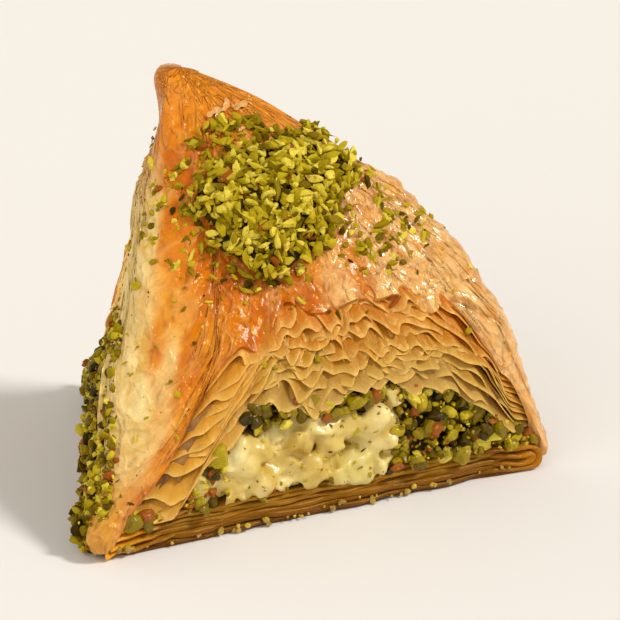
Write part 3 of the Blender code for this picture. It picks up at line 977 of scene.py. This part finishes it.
def front_nuts(count, draw):
    """Turns, heights and depths of nuts right of the cream, at its left end and above it."""
    zone = draw.choice(3, count, p=(0.54, 0.18, 0.28))
    low, high = np.array((0.635, 0.05, 0.20))[zone], np.array((0.965, 0.235, 0.65))[zone]
    turns = turn_at(FRONT, draw.uniform(low, high))
    roof = np.maximum(roof_height(turns), BOTTOM + 1 * MM)
    heights = np.where(zone == 2, roof - draw.uniform(0.0, 2.4, count) * MM, draw.uniform(BOTTOM, roof))
    return turns, heights, draw.uniform(-0.3, 2.4, count) * MM


def left_nuts(count, draw):
    """Turns, heights and depths of the thick strip of nuts on the left side, down to the floor."""
    turns = turn_at(LEFT, draw.uniform(0.03, 0.985, count))
    top = roof_height(turns) + 2.0 * MM
    heights = mix(0.6 * MM, top, draw.random(count) ** 0.9)
    bulge = np.sin(np.pi * np.clip(heights / top, 0.0, 1.0)) * 1.5 * MM
    return turns, heights, draw.uniform(-0.3, 2.0, count) * MM - bulge


def ridge_nuts(count, draw):
    """Turns, heights and depths of the nuts that spread from the left side up its front ridge."""
    heights = mix(3.5 * MM, 25 * MM, draw.random(count) ** 1.25)
    reach = mix(0.016, -0.026, smooth(5 * MM, 24 * MM, heights))
    turns = reach - 0.062 * draw.random(count) ** 1.2
    return turns, heights, draw.uniform(-0.75, 0.1, count) * MM


def heap_on_dome():
    """The turn and height of the heap's middle, and the direction it faces."""
    middle = (np.array(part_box("pistachio_heap")[0]) + np.array(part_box("pistachio_heap")[1])) / 2.0
    turns, heights = np.meshgrid(np.linspace(0.02, 0.32, 61), np.linspace(10 * MM, 48 * MM, 77))
    places, outwards = spots_on_dome(turns, heights)
    nearest = np.unravel_index(np.linalg.norm(places - middle, axis=-1).argmin(), turns.shape)
    return turns[nearest], heights[nearest], outwards[nearest]


def flake_kinds(count, seed):
    """Thin curled shards, flat side along their first two axes and lifted at one long edge."""
    kinds = []
    for index in range(count):
        draw = np.random.default_rng(seed + index)
        piece = add_grid("flake", 10, 5)
        points = points_of(piece) * 2.0
        a, b = points[:, 0].copy(), points[:, 1].copy()
        wide = (1.0 - np.abs(a) ** 2.4) ** 0.5 * (1.0 + 0.25 * waves(a[:, None], 0.8, seed + index))
        points[:, 0] = a * draw.uniform(0.9, 1.2)
        points[:, 1] = b * 0.42 * wide + 0.20 * draw.normal() * a**2
        points[:, 2] = 0.10 * np.clip(0.5 - 0.5 * b, 0.0, 1.0) ** 1.6 + 0.05 * waves(points[:, :2], 1.1, seed + 40 + index)
        set_points(piece, points)
        apply_modifier(piece, "SOLIDIFY", thickness=0.035, offset=0.0)
        in_edit_mode(piece, (bpy.ops.mesh.quads_convert_to_tris, {}))
        kinds.append((points_of(piece), faces_of(piece)))
        bpy.data.objects.remove(piece)
    return kinds


def laid_down(outwards, draw, spread):
    """Axes for flakes: the first near level, the second near uphill, the third outwards."""
    level = unit(np.cross((0.0, 0.0, 1.0), outwards))
    uphill = np.cross(outwards, level)
    angle = draw.normal(0.0, spread, len(outwards))[:, None]
    first = level * np.cos(angle) + uphill * np.sin(angle)
    return np.stack((first, np.cross(outwards, first), outwards), 1)


# ---------------------------------------------------------------- settings


class BaklavaSettings(bpy.types.PropertyGroup):
    leaf_thickness: FloatProperty(
        name="Leaf thickness", description="Thickness of one pastry leaf at the open sides",
        default=0.13 * MM, min=0.05 * MM, max=0.6 * MM, subtype="DISTANCE", unit="LENGTH",
    )
    leaf_wave: FloatProperty(
        name="Leaf wave", description="How far the leaf edges sway in and out",
        default=0.31 * MM, min=0.0, max=2 * MM, subtype="DISTANCE", unit="LENGTH",
    )
    front_leaves: IntProperty(name="Front leaves", description="Leaves along the front mouth", default=13, min=3)
    left_leaves: IntProperty(name="Left leaves", description="Leaves up the open left side", default=13, min=3)
    bottom_leaves: IntProperty(name="Bottom leaves", description="Pressed leaves below the filling", default=8, min=2)
    seed: IntProperty(name="Seed", description="Changes every uneven place at once", default=11, min=0)


# ---------------------------------------------------------------- operators


class BAKLAVA_OT_core(bpy.types.Operator):
    """Makes the inner body that backs the crust and the leaf edges"""

    bl_idname = "baklava.core"
    bl_label = "Inner body"

    def execute(self, context):
        core = core_of_node("inner_body", "pastry", 2.2 * MM)
        points = points_of(core)
        points[:, 2] = np.minimum(points[:, 2], HEIGHT - 11.5 * MM)
        set_points(core, points)
        finish_piece(core, core_finish(), "pastry")
        return {"FINISHED"}


class BAKLAVA_OT_crust(bpy.types.Operator):
    """Makes the glazed crust from its lip to the tip, and the fold down to the floor"""

    bl_idname = "baklava.crust"
    bl_label = "Crust"

    def execute(self, context):
        seed = context.scene.baklava.seed
        piece = add_grid("crust", 520, 184)
        lay_grid(piece, lambda across, up: crust_place(across, up, seed))
        close_seams(piece)
        finish_piece(piece, crust_finish())
        return {"FINISHED"}


class BAKLAVA_OT_flakes(bpy.types.Operator):
    """Makes the loose shards that curl up from the crust"""

    bl_idname = "baklava.flakes"
    bl_label = "Flakes"

    def execute(self, context):
        draw = np.random.default_rng(context.scene.baklava.seed + 60)
        count = 40
        turns = draw.uniform(0.10, 0.345, count)
        heights = lip_height(turns % 1.0) + draw.uniform(0.5, 24.0, count) * MM
        heights = np.clip(heights, 6 * MM, HEIGHT - 4 * MM)
        places, outwards = spots_on_dome(turns, heights, -0.30 * MM)
        axes = laid_down(outwards, draw, 0.8)
        sizes = draw.uniform(0.5, 1.3, count) * MM
        tones = draw.random(count)
        piece = scatter("flakes", flake_kinds(8, 70), places, axes, sizes, tones, draw)
        for name, value in (("lift", 0.6), ("gold", 0.7)):
            set_mark(piece, name, np.full(len(piece.data.vertices), value))
        finish_piece(piece, crust_finish())
        return {"FINISHED"}


class BAKLAVA_OT_front_leaves(bpy.types.Operator):
    """Makes the frilled leaf edges over the front mouth"""

    bl_idname = "baklava.front_leaves"
    bl_label = "Front leaves"

    def execute(self, context):
        own = context.scene.baklava
        settings = (5.0 * MM, own.leaf_wave, (1.8 * MM, 0.40 * MM), (3.5 * MM, 11.0 * MM), 0.25 * MM)
        leaves = side_leaves(FRONT, own.front_leaves, settings, 7, 3000 + own.seed)
        piece = make_leaves("front_leaves", leaves, 200, 10, own.leaf_thickness)
        # the first tone is the painted highlight along the free edges, the second the painted shade where the leaves
        # tuck in
        finish = leaf_finish("front_leaf", FRONT_STOPS, tone(250, 200, 104), tone(140, 80, 4), 0.7)
        finish_piece(piece, finish)
        return {"FINISHED"}


class BAKLAVA_OT_left_leaves(bpy.types.Operator):
    """Makes the pale draped leaf edges up the open left side"""

    bl_idname = "baklava.left_leaves"
    bl_label = "Left leaves"

    def execute(self, context):
        own = context.scene.baklava
        settings = (7.0 * MM, 1.2 * own.leaf_wave, (1.8 * MM, 1.3 * MM), (3.5 * MM, 10.0 * MM), 0.30 * MM)
        leaves = side_leaves(LEFT, own.left_leaves, settings, 10, 7000 + own.seed)
        piece = make_leaves("left_leaves", leaves, 160, 10, own.leaf_thickness)
        # the first tone is the painted highlight along the free edges, the second the painted shade where the leaves
        # tuck in
        finish = leaf_finish("left_leaf", LEFT_STOPS, tone(255, 226, 156), tone(190, 134, 48))
        finish_piece(piece, finish)
        return {"FINISHED"}


class BAKLAVA_OT_corners(bpy.types.Operator):
    """Makes the leaves folded round the two front corners"""

    bl_idname = "baklava.corners"
    bl_label = "Corner folds"

    def execute(self, context):
        seed = context.scene.baklava.seed + 650
        gold = ((0.0, tone(140, 88, 8)), (0.6, tone(210, 140, 24)), (1.0, tone(230, 160, 38)))
        brown = ((0.0, tone(120, 70, 4)), (0.6, tone(150, 92, 8)), (1.0, tone(176, 114, 20)))
        left = make_corner("left_corner", 0, ((1.60, 9.5, 3.5), (0.62, 7.0, 4.5)), seed)
        finish_piece(left, leaf_finish("gold_fold", gold, tone(234, 186, 90), tone(120, 80, 14)))
        right = make_corner("right_corner", 1, ((1.55, 6.0, 1.6), (0.60, 4.0, 2.8)), seed + 20)
        finish_piece(right, leaf_finish("brown_fold", brown, tone(190, 134, 50), tone(90, 56, 8)))
        return {"FINISHED"}


class BAKLAVA_OT_bottom(bpy.types.Operator):
    """Makes the pressed, syrupy bottom leaves"""

    bl_idname = "baklava.bottom"
    bl_label = "Bottom leaves"

    def execute(self, context):
        own = context.scene.baklava
        piece = make_bottom(own.bottom_leaves, own.seed + 700)
        # tone(202, 152, 62) is the painted highlight along the top of each plate
        finish = leaf_finish("bottom_leaf", BOTTOM_STOPS, tone(202, 152, 62), tone(90, 54, 10), 0.0, 0.0001, 0.12)
        finish_piece(piece, finish)
        return {"FINISHED"}


class BAKLAVA_OT_cream(bpy.types.Operator):
    """Makes the cream that fills the middle of the front mouth"""

    bl_idname = "baklava.cream"
    bl_label = "Cream"

    def execute(self, context):
        seed = context.scene.baklava.seed + 800
        draw = np.random.default_rng(seed)
        piece = make_cream(seed)
        places, outwards = spots_on(piece, 130, np.array((-0.25, -0.95, 0.20)), draw)
        sizes = mix(0.14, 0.65, draw.random(130) ** 2.0) * MM
        kinds = chopped_kinds(2, NUT_SHAPES, 4, 810)
        axes = tumbled(outwards, draw, 0.6)
        bits = scatter("cream_bits", kinds, places, axes, sizes, nut_tones(130, 0.48, 0.2, 0.06, draw), draw)
        finish_piece(piece, cream_finish(), "cream", 80)
        finish_piece(bits, nut_finish("cream_bit", NUT_STOPS, 0.3, 0.1, 0.4), smooth_below=35)
        return {"FINISHED"}


class BAKLAVA_OT_nuts(bpy.types.Operator):
    """Makes the chopped pistachios of the filling and the body behind them"""

    bl_idname = "baklava.nuts"
    bl_label = "Filling nuts"

    def execute(self, context):
        draw = np.random.default_rng(context.scene.baklava.seed + 900)
        wet = nut_finish("filling_nut", NUT_STOPS, 0.24, 0.20, 0.4)
        dull = nut_finish("side_nut", NUT_STOPS, 0.45, 0.0, 0.2)
        core = core_of_node("filling_body", "pistachio_filling", 1.0 * MM)
        finish_piece(core, wet, "pistachio_filling")
        groups = (
            ("front_kernels", front_nuts, 14, (1.7, 2.6), 3, 0.46, wet),
            ("front_nuts", front_nuts, 270, (0.7, 1.5), 3, 0.36, wet),
            ("front_crumbs", front_nuts, 420, (0.22, 0.6), 2, 0.50, wet),
            ("left_nuts", left_nuts, 900, (0.4, 1.1), 2, 0.42, dull),
            ("left_crumbs", left_nuts, 1300, (0.22, 0.5), 1, 0.48, dull),
            ("ridge_crumbs", ridge_nuts, 520, (0.22, 0.95), 2, 0.42, dull),
        )
        for name, places, count, (least, most), detail, middle, finish in groups:
            where, outwards = spots_on_dome(*places(count, draw))
            sizes = mix(least, most, draw.random(count) ** 1.6) * MM
            tones = nut_tones(count, middle, 0.24, 0.07, draw)
            kinds = chopped_kinds(detail, NUT_SHAPES, 5, 905)
            piece = scatter(name, kinds, where, tumbled(outwards, draw, 1.0), sizes, tones, draw)
            finish_piece(piece, finish, smooth_below=35)
        return {"FINISHED"}


class BAKLAVA_OT_heap(bpy.types.Operator):
    """Makes the heap of pistachio crumbs on the crust, and the crumbs fallen round it"""

    bl_idname = "baklava.heap"
    bl_label = "Heap and crumbs"

    def execute(self, context):
        draw = np.random.default_rng(context.scene.baklava.seed + 1000)
        finish = nut_finish("heap_crumb", NUT_STOPS, 0.5, 0.0, 0.2)
        core = core_of_node("heap_body", "pistachio_heap", 0.5 * MM)
        finish_piece(core, finish, "pistachio_heap")
        turn, height, facing = heap_on_dome()
        count = 950
        places, outwards = spots_on(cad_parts["pistachio_heap"], count, facing, draw)
        places = places + outwards * draw.uniform(-0.8, 0.8, count)[:, None] * MM
        sizes = mix(0.45, 1.35, draw.random(count) ** 1.3) * MM
        crumbs = scatter(
            "heap_crumbs", chopped_kinds(2, CRUMB_SHAPES, 4, 1001), places, tumbled(outwards, draw, 0.55),
            sizes, nut_tones(count, 0.60, 0.20, 0.04, draw), draw,
        )
        finish_piece(crumbs, finish, smooth_below=35)
        fallen, specks = 640, 300
        spread = mix(0.9, 1.7, draw.random(fallen) ** 2.0)
        round_heap = draw.random(fallen) < 0.5
        angles, reach = draw.uniform(0.0, 2.0 * np.pi, fallen), draw.uniform(0.80, 1.22, fallen)
        strayed = np.where(round_heap, 0.135 * reach * np.cos(angles), draw.normal(0.0, 0.070, fallen) * spread)
        strayed = turn + 0.010 + strayed
        turns = np.concatenate((strayed, draw.uniform(0.70, 1.050, specks)))
        risen = np.where(round_heap, 7.5 * reach * np.sin(angles), draw.normal(-0.5, 5.0, fallen) * spread)
        heights = height + risen * MM
        heights = np.where(heights > 47 * MM, 1.3 * height - 0.3 * heights, heights)
        heights = np.concatenate((heights, draw.uniform(3, 42, specks) * MM))
        sizes = np.concatenate((draw.uniform(0.3, 1.0, fallen), draw.uniform(0.14, 0.50, specks))) * MM
        heights = np.clip(heights, 3 * MM, HEIGHT - 1.5 * MM)
        places, outwards = spots_on_dome(turns, heights, -0.35 * MM)
        tones = nut_tones(fallen + specks, 0.48, 0.2, 0.03, draw)
        kinds = chopped_kinds(1, CRUMB_SHAPES, 2, 1010)
        loose = scatter("fallen_crumbs", kinds, places, tumbled(outwards, draw, 0.3), sizes, tones, draw)
        finish_piece(loose, finish, smooth_below=35)
        return {"FINISHED"}


class BAKLAVA_OT_beads(bpy.types.Operator):
    """Makes the beads of syrup along the foot of the open sides"""

    bl_idname = "baklava.beads"
    bl_label = "Syrup beads"

    def execute(self, context):
        draw = np.random.default_rng(context.scene.baklava.seed + 1100)
        count = 70
        sides = np.where(draw.random(count) < 0.65, FRONT, LEFT)
        shares = draw.uniform(0.05, 0.97, count)
        turns = np.where(sides == FRONT, turn_at(FRONT, shares), turn_at(LEFT, shares))
        heights, depths = draw.uniform(0.4, 1.5, count) * MM, draw.uniform(-0.4, 0.2, count) * MM
        where, outwards = spots_on_dome(turns, heights, depths)
        kinds = chopped_kinds(2, ((1.15, 0.9, 0.85), (1.0, 0.9, 0.8), (1.3, 0.8, 0.8)), 0, 1105)
        sizes = mix(0.18, 0.60, draw.random(count) ** 1.5) * MM
        piece = scatter("syrup_beads", kinds, where, tumbled(outwards, draw, 0.6), sizes, shares, draw)
        finish_piece(piece, syrup_finish())
        return {"FINISHED"}


class BAKLAVA_OT_stage(bpy.types.Operator):
    """Makes the floor, the soft lights and the camera"""

    bl_idname = "baklava.stage"
    bl_label = "Stage"

    azimuth: FloatProperty(name="Azimuth", description="Turn of the camera", default=math.radians(-25.8), subtype="ANGLE")
    elevation: FloatProperty(name="Elevation", description="Height of the camera", default=math.radians(24.6), subtype="ANGLE")
    distance: FloatProperty(name="Distance", description="From the camera to the piece", default=0.8, unit="LENGTH")

    def execute(self, context):
        deselect_all()
        bpy.ops.mesh.primitive_plane_add(size=12.0, location=(0, 0, 0))
        floor = context.object
        floor.name = floor.data.name = "floor"
        floor.data.materials.append(floor_finish())
        self.add_sun("key", Vector((0.50, -0.42, 0.76)), 2.1, 13)
        self.add_sun("fill", Vector((-0.70, -0.45, 0.60)), 0.95, 60)
        self.add_sun("back", Vector((-0.50, 0.75, 0.45)), 0.45, 60)
        self.add_world(context)
        self.add_camera(context)
        context.scene.view_settings.view_transform = "Standard"
        return {"FINISHED"}

    def add_sun(self, name, towards, strength, spread):
        bpy.ops.object.light_add(type="SUN", location=towards)
        sun = bpy.context.object
        sun.name = sun.data.name = name
        sun.data.energy = strength
        sun.data.angle = math.radians(spread)
        sun.rotation_mode = "QUATERNION"
        sun.rotation_quaternion = towards.to_track_quat("Z", "Y")

    def add_world(self, context):
        """A cream surround, bright at the horizon and softer overhead."""
        world = bpy.data.worlds.new("studio")
        world.use_nodes = True
        nodes, links = world.node_tree.nodes, world.node_tree.links
        where, split = nodes.new("ShaderNodeTexCoord"), nodes.new("ShaderNodeSeparateXYZ")
        fade = nodes.new("ShaderNodeMapRange")
        fade.inputs["From Min"].default_value, fade.inputs["From Max"].default_value = 0.06, 0.26
        fade.inputs["To Min"].default_value, fade.inputs["To Max"].default_value = 0.98, 0.38
        links.new(where.outputs["Generated"], split.inputs[0])
        links.new(split.outputs["Z"], fade.inputs["Value"])
        links.new(fade.outputs[0], nodes["Background"].inputs["Strength"])
        nodes["Background"].inputs["Color"].default_value = (*tone(253, 247, 238), 1.0)
        context.scene.world = world

    def add_camera(self, context):
        """Aims at the middle of the dome's outline as the camera sees it."""
        level, rise = math.cos(self.elevation), math.sin(self.elevation)
        back = Vector((math.sin(self.azimuth) * level, -math.cos(self.azimuth) * level, rise))
        right = Vector((math.cos(self.azimuth), math.sin(self.azimuth), 0.0))
        turns, heights = np.meshgrid(np.linspace(0.0, 1.0, 91), np.linspace(0.0, HEIGHT, 40))
        outline = shell(turns, heights).reshape(-1, 3)
        aim = Vector((0.0, 0.0, HEIGHT / 2.0))
        for axis in (right, back.cross(right)):
            spans = (outline - aim) @ np.array(axis)
            aim += axis * float(spans.max() + spans.min()) / 2.0
        bpy.ops.object.camera_add(location=aim + back * self.distance)
        camera = context.object
        camera.data.lens = 345.0
        camera.data.clip_start = 0.05
        camera.rotation_mode = "QUATERNION"
        camera.rotation_quaternion = back.to_track_quat("Z", "Y")
        context.scene.camera = camera


class BAKLAVA_PT_panel(bpy.types.Panel):
    """Lists the pieces and the sizes that a user would change"""

    bl_idname = "BAKLAVA_PT_panel"
    bl_label = "Baklava"
    bl_space_type = "VIEW_3D"
    bl_region_type = "UI"
    bl_category = "Baklava"

    def draw(self, context):
        own = context.scene.baklava
        for name in own.bl_rna.properties.keys():
            if name not in {"rna_type", "name"}:
                self.layout.prop(own, name)
        for operator in OPERATORS:
            self.layout.operator(operator.bl_idname)


OPERATORS = (
    BAKLAVA_OT_core,
    BAKLAVA_OT_crust,
    BAKLAVA_OT_flakes,
    BAKLAVA_OT_front_leaves,
    BAKLAVA_OT_left_leaves,
    BAKLAVA_OT_corners,
    BAKLAVA_OT_bottom,
    BAKLAVA_OT_cream,
    BAKLAVA_OT_nuts,
    BAKLAVA_OT_heap,
    BAKLAVA_OT_beads,
    BAKLAVA_OT_stage,
)
CLASSES = (BaklavaSettings, *OPERATORS, BAKLAVA_PT_panel)


def register():
    for cls in CLASSES:
        bpy.utils.register_class(cls)
    bpy.types.Scene.baklava = PointerProperty(type=BaklavaSettings)


def unregister():
    del bpy.types.Scene.baklava
    for cls in reversed(CLASSES):
        bpy.utils.unregister_class(cls)


def main():
    register()
    for operator in OPERATORS:
        group, name = operator.bl_idname.split(".")
        getattr(getattr(bpy.ops, group), name)()


if __name__ == "__main__":
    main()
